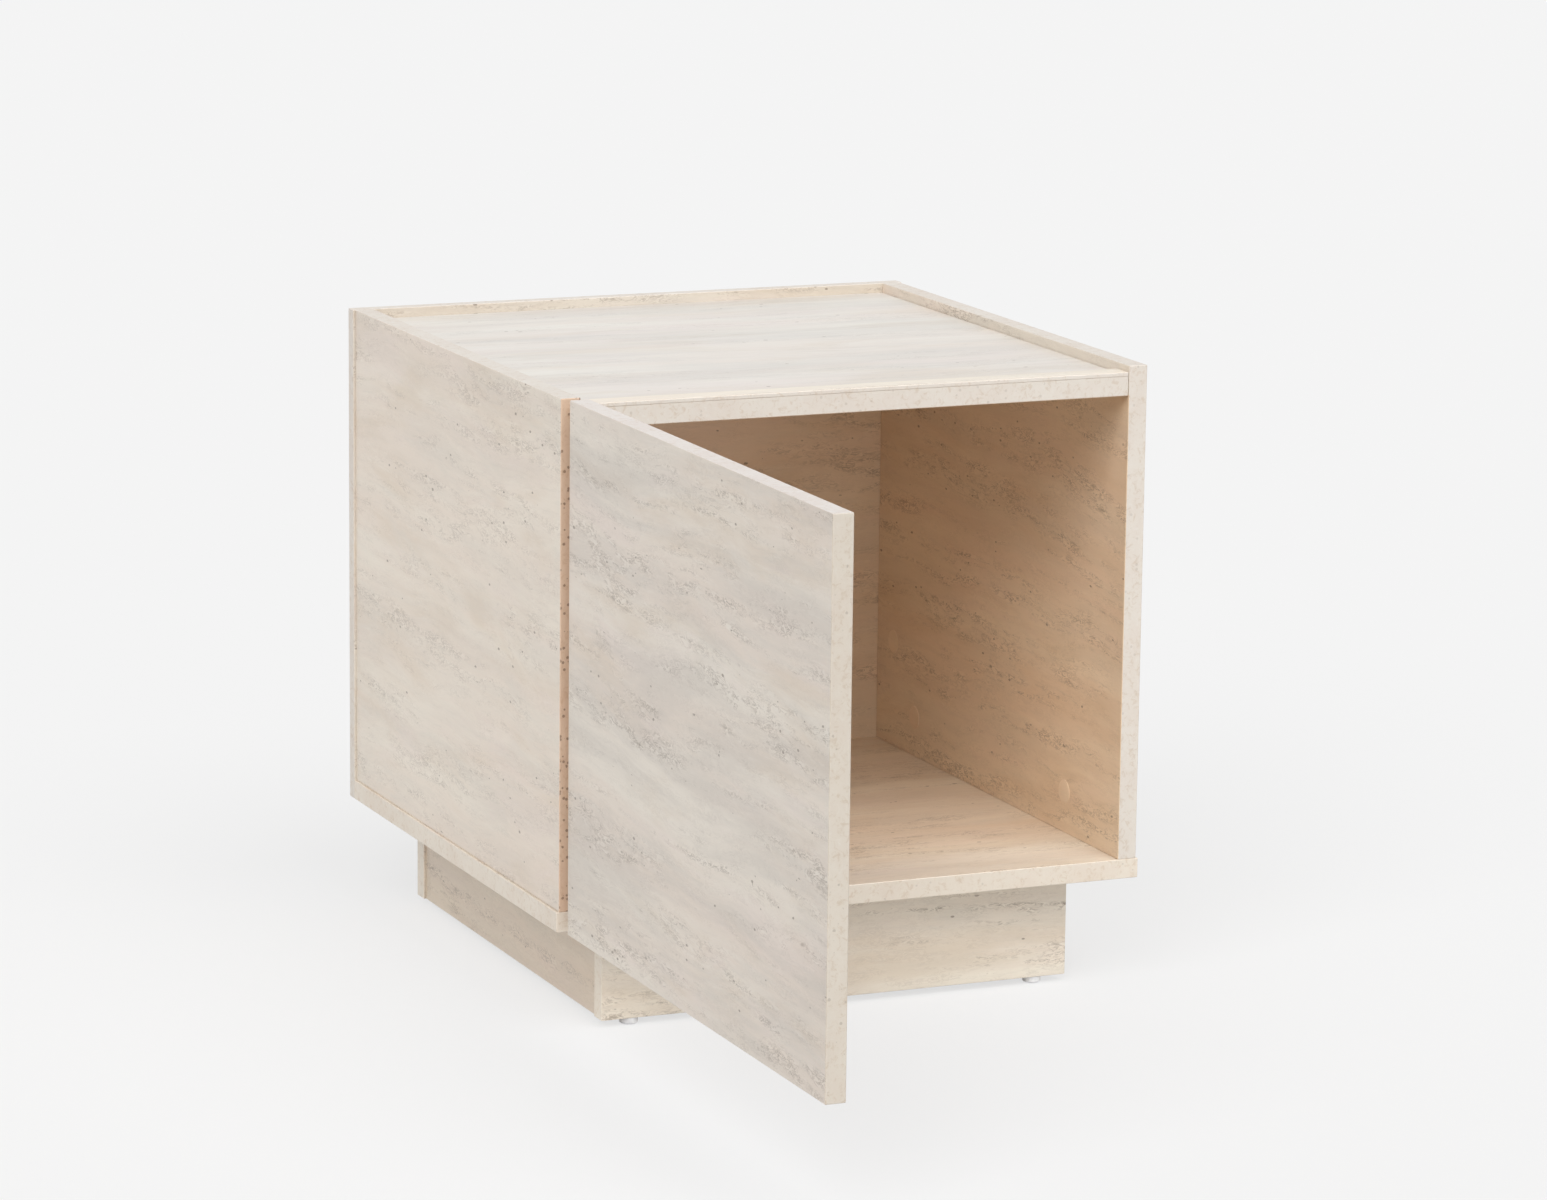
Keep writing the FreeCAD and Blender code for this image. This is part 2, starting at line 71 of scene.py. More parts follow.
# Where the print, the bands, the tints and the painted light and shade lie on the boards
face_depth = 0.0001
edge_depth = 0.0004
cavity_margin = 0.0005
lit_floor_depths = (0.02, 0.13)

# Bump of each finish: its strength and its depth
board_bump = (0.15, 0.0004)
worn_bump = (0.1, 0.0001)
foil_bump = (0.1, 0.0002)
wood_bump = (0.2, 0.0002)

# Round fittings
round_segments = 40
round_rings = 8
head_bite = 0.0003
point_share = 0.35
recess_depth_share = 0.6
recess_slot_share = 0.28
sharp_angle = math.radians(35)
merge_distance = 1e-6


def srgb(red, green, blue):
    """A display colour, 0 to 255, as the linear colour that shaders take."""
    def linear(value):
        part = value / 255
        return part / 12.92 if part <= 0.04045 else ((part + 0.055) / 1.055) ** 2.4
    return (linear(red), linear(green), linear(blue), 1.0)


# Tones of the stone print and of bare wood, and the laminate's gloss
cream = srgb(234, 219, 202)
pale_cream = srgb(240, 230, 214)
sand = srgb(221, 202, 178)
blush = srgb(235, 218, 207)
moss_grey = srgb(222, 214, 200)
stone_grey = srgb(207, 197, 184)
pit_brown = srgb(122, 102, 82)
light_fleck = srgb(246, 239, 226)
wood_light = srgb(222, 188, 142)
wood_dark = srgb(190, 148, 100)
laminate_gloss = 0.9

# Tints: on most boards' edges; painted warm bounce light and shade round the storage space; painted
# shade on the front edges of the left side and of the door, each with its share of extra specks; and
# painted light near the front of the compartment's floor
PLAIN = (1.0, 1.0, 1.0, 1.0)
PALE_EDGE = (0.81, 0.82, 0.86, 1.0)
# Painted warm bounce shade on the faces round the storage space and on the covers there
CAVITY_BOUNCE_SHADE = (1.03, 0.89, 0.75, 1.0)
# Painted shade: the left side's front edge, in the open door's shadow, and the door's free edge are
# darkened
SHADED_FRONT_EDGES = {
    "side_left": ((0.96, 0.76, 0.62, 1.0), 1.0),
    "door": ((0.845, 0.825, 0.755, 1.0), 0.25),
}
# Painted light: the compartment's floor is lighter near its open front
LIT_FLOOR_FRONTS = {"base": (1.09, 1.11, 1.12, 1.0)}

# Print on the stick-on covers: its axes as for the boards, its place, its greyness and its pitting
cover_axes = "YZX"
cover_shift = (3.4, 1.2, 0.5)
cover_greyness = 0.2
cover_pitting = 0.1

# Noises: repeats to the metre on each axis, shift, detail, roughness, distortion. On the print the axes
# run along the beds, across them and through the board.
NO_SHIFT = (0.0, 0.0, 0.0)
NOISES = {
    "sway": ((3.5, 3.5, 3.5), NO_SHIFT, 2.0, 0.6, 0.0),
    "layers": ((1.9, 19.0, 4.0), NO_SHIFT, 6.0, 0.6, 0.3),
    "drifts": ((5.0, 22.0, 6.0), (7.1, 2.3, 0.0), 5.0, 0.62, 0.4),
    "greys": ((3.2, 23.0, 5.0), (3.7, 9.2, 0.0), 6.0, 0.66, 0.4),
    "streaks": ((24.0, 240.0, 40.0), NO_SHIFT, 4.0, 0.66, 0.0),
    "beds": ((3.2, 42.0, 8.0), (1.3, 5.9, 0.0), 5.0, 0.68, 0.5),
    "clumps": ((26.0, 85.0, 45.0), (4.4, 1.6, 0.0), 3.0, 0.6, 0.6),
    "curls": ((110.0, 300.0, 150.0), NO_SHIFT, 3.0, 0.62, 1.1),
    "band_tone": ((22.0, 22.0, 22.0), NO_SHIFT, 4.0, 0.6, 0.0),
    "band_grain": ((190.0, 190.0, 190.0), NO_SHIFT, 5.0, 0.7, 0.8),
    "wear_cloud": ((130.0, 130.0, 130.0), NO_SHIFT, 4.0, 0.6, 0.0),
    "wear_grain": ((1500.0, 1500.0, 400.0), NO_SHIFT, 2.0, 0.6, 0.0),
    "wood_rings": ((240.0, 240.0, 14.0), NO_SHIFT, 5.0, 0.6, 0.6),
    "wood_fibre": ((1600.0, 1600.0, 60.0), NO_SHIFT, 3.0, 0.6, 0.0),
}

# Ramps: the noise's values at both ends, and what the ramp gives there
RAMPS = {
    "pale": (0.36, 0.64, 0.0, 1.0),
    "sand": (0.47, 0.68, 0.0, 0.50),
    "blush": (0.50, 0.66, 0.0, 0.35),
    "moss": (0.50, 0.66, 0.0, 0.40),
    "grey": (0.40, 0.64, 0.0, 1.0),
    "dark_streak": (0.52, 0.76, 0.0, 0.26),
    "light_streak": (0.46, 0.26, 0.0, 0.20),
    "pitted": (0.46, 0.62, 0.16, 1.0),
    "clump": (0.40, 0.60, 0.16, 1.4),
    "thread": (0.008, 0.065, 1.0, 0.0),
    "fleck": (0.54, 0.64, 0.0, 0.8),
    "print_rough": (0.3, 0.7, 0.34, 0.42),
    "pit_edge": (-0.12, 0.06, 0.0, 1.0),
    "band_cream": (0.40, 0.66, 0.0, 0.45),
    "band_sand": (0.50, 0.68, 0.0, 0.70),
    "band_fleck": (0.44, 0.28, 0.0, 0.50),
    "band_specks": (0.42, 0.64, 0.01, 0.12),
    "band_rough": (0.3, 0.7, 0.36, 0.44),
    "wear_tone": (0.35, 0.68, 0.0, 1.0),
    "wear_rough": (0.3, 0.7, 0.0, 1.0),
    "wood_tone": (0.35, 0.65, 0.0, 1.0),
    "wood_rough": (0.3, 0.7, 0.55, 0.70),
}

# Sway of the beds in metres, the middle of the dark threads, and the pits in the print and in the
# edge bands
sway_height = 0.045
thread_middle = 0.47
print_pit_scale = (190.0, 360.0, 200.0)
print_pit_share = 0.10
print_pit_strength = 0.7
band_speck_scale = (330.0, 330.0, 330.0)
band_speck_strengths = (0.18, 0.70)
extra_speck_share = 0.38
pit_size = 0.42
grain_height_share = 0.2


def link(tree, value, socket):
    """Set a socket, by a link where the value is another node's socket."""
    if isinstance(value, bpy.types.NodeSocket):
        tree.links.new(value, socket)
    else:
        socket.default_value = value


def add(tree, kind, inputs=None, **settings):
    """One node, with its settings and with its inputs given as values or as sockets to link."""
    made = tree.nodes.new(kind)
    for name, value in settings.items():
        setattr(made, name, value)
    for key, value in (inputs or {}).items():
        link(tree, value, made.inputs[key])
    return made


def calc(tree, operation, first, second=0.0):
    """Result of one operation on values."""
    return add(tree, "ShaderNodeMath", {0: first, 1: second}, operation=operation).outputs[0]


def vector_calc(tree, operation, first, second=NO_SHIFT, third=NO_SHIFT):
    """Result of one operation on vectors."""
    made = add(tree, "ShaderNodeVectorMath", {0: first, 1: second, 2: third}, operation=operation)
    return made.outputs["Vector"]


def ramp(tree, value, low, high, start, end):
    """Smooth step from start to end as the value goes from low to high."""
    made = add(tree, "ShaderNodeMapRange",
               {"Value": value, "From Min": low, "From Max": high, "To Min": start, "To Max": end},
               interpolation_type="SMOOTHSTEP")
    return made.outputs["Result"]


def blend(tree, share, first, second, kind="MIX"):
    """Mix of two colours."""
    made = add(tree, "ShaderNodeMix", data_type="RGBA", blend_type=kind)
    ends = [socket for socket in made.inputs if socket.type == "RGBA"]
    for socket, value in zip([made.inputs[0]] + ends, (share, first, second)):
        link(tree, value, socket)
    return next(socket for socket in made.outputs if socket.type == "RGBA")


def between(tree, share, first, second):
    """Mix of two values."""
    return add(tree, "ShaderNodeMix", {0: share, 2: first, 3: second}, data_type="FLOAT").outputs[0]


def noise(tree, place, name):
    """One of the named noises at a place; the node's outputs."""
    scale, shift, detail, roughness, distortion = NOISES[name]
    laid = vector_calc(tree, "MULTIPLY_ADD", place, scale, shift)
    return add(tree, "ShaderNodeTexNoise", {"Vector": laid, "Scale": 1.0, "Detail": detail,
                                            "Roughness": roughness, "Distortion": distortion}).outputs


def new_group(name, inputs, outputs):
    """An empty shader group with its named sockets: (name, kind, default) in, (name, kind) out."""
    tree = bpy.data.node_groups.new(name, "ShaderNodeTree")
    for label, kind, default in inputs:
        socket = tree.interface.new_socket(label, in_out="INPUT", socket_type=kind)
        socket.default_value = default
    for label, kind in outputs:
        tree.interface.new_socket(label, in_out="OUTPUT", socket_type=kind)
    return tree, tree.nodes.new("NodeGroupInput").outputs, tree.nodes.new("NodeGroupOutput").inputs


FLOAT, VECTOR, COLOR = "NodeSocketFloat", "NodeSocketVector", "NodeSocketColor"
FINISH_OUTPUTS = [("Color", COLOR), ("Roughness", FLOAT), ("Height", FLOAT)]


def fill_group(tree, group, inputs):
    """The outputs of a shader group placed in a tree, with its inputs set."""
    made = add(tree, "ShaderNodeGroup", node_tree=group)
    for label, value in inputs.items():
        link(tree, value, made.inputs[label])
    return made.outputs


def pits(tree, place, scale, amount):
    """Small hollows, one to a cell of the scale, in the share of the cells that the amount gives."""
    laid = vector_calc(tree, "MULTIPLY", place, scale)
    cells = add(tree, "ShaderNodeTexVoronoi", {"Vector": laid, "Scale": 1.0}).outputs
    chance = add(tree, "ShaderNodeSeparateColor", {"Color": cells["Color"]}).outputs
    held = calc(tree, "LESS_THAN", chance[0], amount)
    depth = calc(tree, "SUBTRACT", calc(tree, "MULTIPLY", chance[1], pit_size), cells["Distance"])
    return calc(tree, "MULTIPLY", ramp(tree, depth, *RAMPS["pit_edge"]), held)


def stone_print_group():
    """Bedded stone: the place's first axis runs along the beds, its second across them."""
    tree, given, out = new_group(
        "stone_print",
        [("Place", VECTOR, (0, 0, 0)), ("Greyness", FLOAT, 0.3), ("Pitting", FLOAT, 0.4),
         ("Tint", COLOR, (1, 1, 1, 1))],
        FINISH_OUTPUTS)
    sway = noise(tree, given["Place"], "sway")["Fac"]
    rise = calc(tree, "MULTIPLY", sway, sway_height)
    lift = add(tree, "ShaderNodeCombineXYZ", {"Y": rise}).outputs[0]
    bed = vector_calc(tree, "ADD", given["Place"], lift)

    layers = noise(tree, bed, "layers")["Fac"]
    color = blend(tree, ramp(tree, layers, *RAMPS["pale"]), cream, pale_cream)
    drift_color = noise(tree, bed, "drifts")["Color"]
    drifts = add(tree, "ShaderNodeSeparateColor", {"Color": drift_color}).outputs
    for drift, name, tone in zip(drifts, ("sand", "blush", "moss"), (sand, blush, moss_grey)):
        color = blend(tree, ramp(tree, drift, *RAMPS[name]), color, tone)
    greys = ramp(tree, noise(tree, bed, "greys")["Fac"], *RAMPS["grey"])
    color = blend(tree, calc(tree, "MULTIPLY", greys, given["Greyness"]), color, stone_grey)
    streaks = noise(tree, bed, "streaks")["Fac"]
    color = blend(tree, ramp(tree, streaks, *RAMPS["dark_streak"]), color, stone_grey)
    color = blend(tree, ramp(tree, streaks, *RAMPS["light_streak"]), color, light_fleck)

    beds = noise(tree, bed, "beds")["Fac"]
    clumps = noise(tree, bed, "clumps")["Fac"]
    pitted = calc(tree, "MULTIPLY", ramp(tree, beds, *RAMPS["pitted"]), given["Pitting"])
    dense = calc(tree, "MULTIPLY", pitted, ramp(tree, clumps, *RAMPS["clump"]))
    curls = noise(tree, bed, "curls")["Fac"]
    off_thread = calc(tree, "ABSOLUTE", calc(tree, "SUBTRACT", curls, thread_middle))
    threads = calc(tree, "MULTIPLY", ramp(tree, off_thread, *RAMPS["thread"]), dense)
    hollows = pits(tree, bed, print_pit_scale, calc(tree, "MULTIPLY", pitted, print_pit_share))
    marks = calc(tree, "MAXIMUM", threads, calc(tree, "MULTIPLY", hollows, print_pit_strength))
    flecks = calc(tree, "MULTIPLY", ramp(tree, curls, *RAMPS["fleck"]), dense)
    color = blend(tree, flecks, color, light_fleck)
    color = blend(tree, marks, color, pit_brown)
    color = blend(tree, 1.0, color, given["Tint"], "MULTIPLY")
    rough = ramp(tree, layers, *RAMPS["print_rough"])
    height = calc(tree, "SUBTRACT", calc(tree, "MULTIPLY", streaks, grain_height_share), marks)
    tree.links.new(color, out["Color"])
    tree.links.new(rough, out["Roughness"])
    tree.links.new(height, out["Height"])
    return tree


def edge_band_group():
    """Pale, finely specked strip on a board's edges."""
    tree, given, out = new_group(
        "edge_band",
        [("Place", VECTOR, (0, 0, 0)), ("Tint", COLOR, (1, 1, 1, 1)), ("Specks", FLOAT, 0.0)],
        FINISH_OUTPUTS)
    tone = noise(tree, given["Place"], "band_tone")["Fac"]
    grain = noise(tree, given["Place"], "band_grain")["Fac"]
    color = blend(tree, ramp(tree, tone, *RAMPS["band_cream"]), pale_cream, cream)
    color = blend(tree, ramp(tree, grain, *RAMPS["band_sand"]), color, sand)
    color = blend(tree, ramp(tree, grain, *RAMPS["band_fleck"]), color, light_fleck)
    crowding = calc(tree, "MULTIPLY", given["Specks"], extra_speck_share)
    amount = calc(tree, "ADD", ramp(tree, tone, *RAMPS["band_specks"]), crowding)
    specks = pits(tree, given["Place"], band_speck_scale, amount)
    strength = between(tree, given["Specks"], *band_speck_strengths)
    color = blend(tree, calc(tree, "MULTIPLY", specks, strength), color, pit_brown)
    color = blend(tree, 1.0, color, given["Tint"], "MULTIPLY")
    rough = ramp(tree, tone, *RAMPS["band_rough"])
    height = calc(tree, "SUBTRACT", calc(tree, "MULTIPLY", grain, grain_height_share), specks)
    tree.links.new(color, out["Color"])
    tree.links.new(rough, out["Roughness"])
    tree.links.new(height, out["Height"])
    return tree


def wear_group():
    """Cloudy change of tone and fine grain, for plated, cast and moulded pieces."""
    tree, given, out = new_group(
        "surface_wear",
        [("Place", VECTOR, (0, 0, 0)), ("Tone", COLOR, (0.8, 0.8, 0.8, 1)),
         ("Dull Tone", COLOR, (0.6, 0.6, 0.6, 1)), ("Smooth", FLOAT, 0.3), ("Rough", FLOAT, 0.5)],
        FINISH_OUTPUTS)
    cloud = noise(tree, given["Place"], "wear_cloud")["Fac"]
    grain = noise(tree, given["Place"], "wear_grain")["Fac"]
    color = blend(tree, ramp(tree, cloud, *RAMPS["wear_tone"]), given["Tone"], given["Dull Tone"])
    rough = between(tree, ramp(tree, cloud, *RAMPS["wear_rough"]), given["Smooth"], given["Rough"])
    tree.links.new(color, out["Color"])
    tree.links.new(rough, out["Roughness"])
    tree.links.new(grain, out["Height"])
    return tree


stone_print = stone_print_group()
edge_band = edge_band_group()
surface_wear = wear_group()


def new_material(name):
    """A material with its tree, its shader's inputs and its object coordinates."""
    material = bpy.data.materials.new(name)
    material.use_nodes = True
    tree = material.node_tree
    place = add(tree, "ShaderNodeTexCoord").outputs["Object"]
    return material, tree, tree.nodes["Principled BSDF"].inputs, place


def shade(tree, shader, color, rough, height, strength, distance):
    """Join a finish's colour, roughness and height to the shader."""
    tree.links.new(color, shader["Base Color"])
    tree.links.new(rough, shader["Roughness"])
    bump = add(tree, "ShaderNodeBump", {"Height": height, "Strength": strength, "Distance": distance})
    tree.links.new(bump.outputs["Normal"], shader["Normal"])


def laid_print(tree, place, axes, shift):
    """Object coordinates reordered to run along the beds, across them and through the board."""
    parts = add(tree, "ShaderNodeSeparateXYZ", {0: place}).outputs
    ordered = {key: parts[axis] for key, axis in enumerate(axes)}
    laid = add(tree, "ShaderNodeCombineXYZ", ordered).outputs[0]
    return vector_calc(tree, "ADD", laid, shift), parts[axes[2]]


def in_cavity(tree, place):
    """1 on the faces round the storage space, where the painted bounce light and shade go, 0 elsewhere.
    """
    low = Vector((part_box("side_left")[1].x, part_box("side_left")[0].y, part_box("base")[1].z))
    high = Vector((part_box("side_right")[0].x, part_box("back")[0].y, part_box("top")[0].z))
    away = vector_calc(tree, "ABSOLUTE", vector_calc(tree, "SUBTRACT", place, (low + high) / 2))
    beyond = vector_calc(tree, "SUBTRACT", away, (high - low) / 2)
    past = add(tree, "ShaderNodeSeparateXYZ", {0: beyond}).outputs
    furthest = calc(tree, "MAXIMUM", past[0], calc(tree, "MAXIMUM", past[1], past[2]))
    return calc(tree, "LESS_THAN", furthest, cavity_margin)


def behind_front(tree, place, node):
    """How far back a place lies from a board's front edge, in metres."""
    depth = add(tree, "ShaderNodeSeparateXYZ", {0: place}).outputs["Y"]
    return calc(tree, "SUBTRACT", depth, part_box(node)[0].y)


def board_material(node, axes, shift, greyness, pitting, tint, edge_tint, cavity_painted_tint):
    """Laminated board: stone print on its two faces, specked band on its edges, with painted light and
    shade round the storage space, on shaded front edges and near the floor's open front.
    """
    material, tree, shader, place = new_material(f"laminate_{node}")
    laid, through = laid_print(tree, place, axes, shift)
    face = fill_group(tree, stone_print,
                      {"Place": laid, "Greyness": greyness, "Pitting": pitting, "Tint": tint})
    back_from_front = behind_front(tree, place, node)
    edge_inputs = {"Place": place, "Tint": edge_tint}
    if node in SHADED_FRONT_EDGES:
        front_shade_tint, front_specks = SHADED_FRONT_EDGES[node]
        at_front = calc(tree, "LESS_THAN", back_from_front, cavity_margin)
        edge_inputs["Specks"] = calc(tree, "MULTIPLY", at_front, front_specks)
    edge = fill_group(tree, edge_band, edge_inputs)
    low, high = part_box(node)
    axis = "XYZ".index(axes[2])
    middle, half = (low[axis] + high[axis]) / 2, (high[axis] - low[axis]) / 2
    off_middle = calc(tree, "ABSOLUTE", calc(tree, "SUBTRACT", through, middle))
    on_edge = ramp(tree, off_middle, half - edge_depth, half - face_depth, 1.0, 0.0)
    color = blend(tree, on_edge, face["Color"], edge["Color"])
    # Painted light near the floor's open front
    if node in LIT_FLOOR_FRONTS:
        inward = ramp(tree, back_from_front, *lit_floor_depths, 0.0, 1.0)
        cavity_painted_tint = blend(tree, inward, LIT_FLOOR_FRONTS[node], cavity_painted_tint)
    # Painted warm bounce light and shade round the storage space
    inner = blend(tree, 1.0, color, cavity_painted_tint, "MULTIPLY")
    color = blend(tree, in_cavity(tree, place), color, inner)
    # Painted shade darkens the front edge
    if node in SHADED_FRONT_EDGES:
        color = blend(tree, at_front, color, blend(tree, 1.0, color, front_shade_tint, "MULTIPLY"))
    rough = between(tree, on_edge, face["Roughness"], edge["Roughness"])
    height = between(tree, on_edge, face["Height"], edge["Height"])
    shade(tree, shader, color, rough, height, *board_bump)
    shader["Specular IOR Level"].default_value = laminate_gloss
    return material


def worn_material(name, tone, dull_tone, smooth, rough, metallic=0.0):
    """Plated, cast or moulded piece."""
    material, tree, shader, place = new_material(name)
    finish = fill_group(tree, surface_wear, {"Place": place, "Tone": tone, "Dull Tone": dull_tone,
                                             "Smooth": smooth, "Rough": rough})
    shade(tree, shader, finish["Color"], finish["Roughness"], finish["Height"], *worn_bump)
    shader["Metallic"].default_value = metallic
    return material


def cover_material():
    """Printed foil on the stick-on covers."""
    material, tree, shader, place = new_material("printed_foil")
    laid, _ = laid_print(tree, place, cover_axes, cover_shift)
    finish = fill_group(tree, stone_print,
                        {"Place": laid, "Greyness": cover_greyness, "Pitting": cover_pitting})
    # Painted warm bounce shade, as on the faces round the storage space
    color = blend(tree, 1.0, finish["Color"], CAVITY_BOUNCE_SHADE, "MULTIPLY")
    shade(tree, shader, color, finish["Roughness"], finish["Height"], *foil_bump)
    return material


def softwood_material():
    """Bare wood with growth rings stretched along the grain."""
    material, tree, shader, place = new_material("bare_softwood")
    rings = noise(tree, place, "wood_rings")["Fac"]
    fibre = noise(tree, place, "wood_fibre")["Fac"]
    color = blend(tree, ramp(tree, rings, *RAMPS["wood_tone"]), wood_light, wood_dark)
    shade(tree, shader, color, ramp(tree, fibre, *RAMPS["wood_rough"]), fibre, *wood_bump)
    return material


# Worn finishes: tone, dull tone, least and greatest roughness, and 1.0 for a metal
hinge_nickel = worn_material("hinge_nickel", srgb(206, 204, 200), srgb(184, 182, 178), 0.24, 0.38, 1.0)
screw_zinc = worn_material("screw_zinc", srgb(212, 212, 208), srgb(186, 188, 190), 0.28, 0.44, 1.0)
cam_zinc = worn_material("cam_zinc", srgb(178, 178, 176), srgb(152, 152, 150), 0.38, 0.54, 1.0)
glide_white = worn_material("glide_white", srgb(238, 238, 238), srgb(222, 222, 224), 0.32, 0.42)
pad_clear = worn_material("pad_clear", srgb(226, 226, 222), srgb(210, 210, 206), 0.18, 0.28)
printed_foil = cover_material()
bare_softwood = softwood_material()


# Each board's axes along the beds, across them and through it, its place in the print, its greyness and
# pitting, and its tints: on the faces, on the edges, and as a factor round the storage space. The face
# and edge tints are set to how each board is lit, so they hold painted light and shade besides the
# board's own tone; the factor round the storage space is painted warm bounce light and shade.
BOARDS = {
    "base": ("XYZ", (1.3, 0.4, 0.1), 0.25, 0.35, PLAIN,
             (0.89, 0.88, 0.88, 1.0), (1.07, 1.01, 0.94, 1.0)),
    "back": ("XZY", (4.1, 2.2, 0.6), 0.25, 0.36, (0.86, 0.87, 0.88, 1.0),
             PALE_EDGE, (1.18, 1.03, 0.88, 1.0)),
    "side_left": ("YZX", (7.7, 1.1, 0.3), 0.25, 0.28, (0.95, 0.95, 0.96, 1.0), PALE_EDGE, CAVITY_BOUNCE_SHADE),
    "side_right": ("YZX", (2.9, 5.3, 0.9), 0.25, 0.42, (0.98, 0.98, 0.98, 1.0), PALE_EDGE, CAVITY_BOUNCE_SHADE),
    # The top's cool grey face tint is partly the print's tone and partly a painted sheen of the pale
    # room
    "top": ("XYZ", (8.4, 3.6, 0.2), 0.36, 0.15, (0.89, 0.94, 1.02, 1.0), PALE_EDGE, CAVITY_BOUNCE_SHADE),
    "top_lip": ("XYZ", (5.5, 6.1, 0.7), 0.20, 0.20, PLAIN, PALE_EDGE, PLAIN),
    "plinth_front": ("XZY", (3.2, 7.4, 0.5), 0.22, 0.50, (0.94, 0.945, 0.94, 1.0), PLAIN, PLAIN),
    "plinth_back": ("XZY", (6.6, 4.9, 0.8), 0.35, 0.50, PLAIN, PLAIN, PLAIN),
    "plinth_left": ("YZX", (9.1, 2.7, 0.4), 0.25, 0.40, (0.92, 0.88, 0.83, 1.0), PLAIN, PLAIN),
    "plinth_right": ("YZX", (1.9, 8.8, 0.1), 0.25, 0.45, (0.95, 0.94, 0.92, 1.0), PLAIN, PLAIN),
    "door": ("YZX", (5.8, 9.3, 0.6), 0.52, 0.38, (0.90, 0.91, 0.94, 1.0),
             (0.84, 0.855, 0.94, 1.0), PLAIN),
}

FITTING_FINISHES = {
    "hinge_cups": hinge_nickel, "hinge_cup_pins": hinge_nickel, "hinge_outer_links": hinge_nickel,
    "hinge_inner_links": hinge_nickel, "hinge_arms": hinge_nickel, "hinge_arm_pins": hinge_nickel,
    "hinge_plates": hinge_nickel, "cam_locks": cam_zinc, "cam_bolts": screw_zinc,
    "dowels": bare_softwood, "plinth_blocks": bare_softwood,
}


def finish_node(node, material):
    """Give a modelled node its finish."""
    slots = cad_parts[node].data.materials
    slots.clear()
    slots.append(material)


for board, values in BOARDS.items():
    finish_node(board, board_material(board, *values))
for node, material in FITTING_FINISHES.items():
    finish_node(node, material)


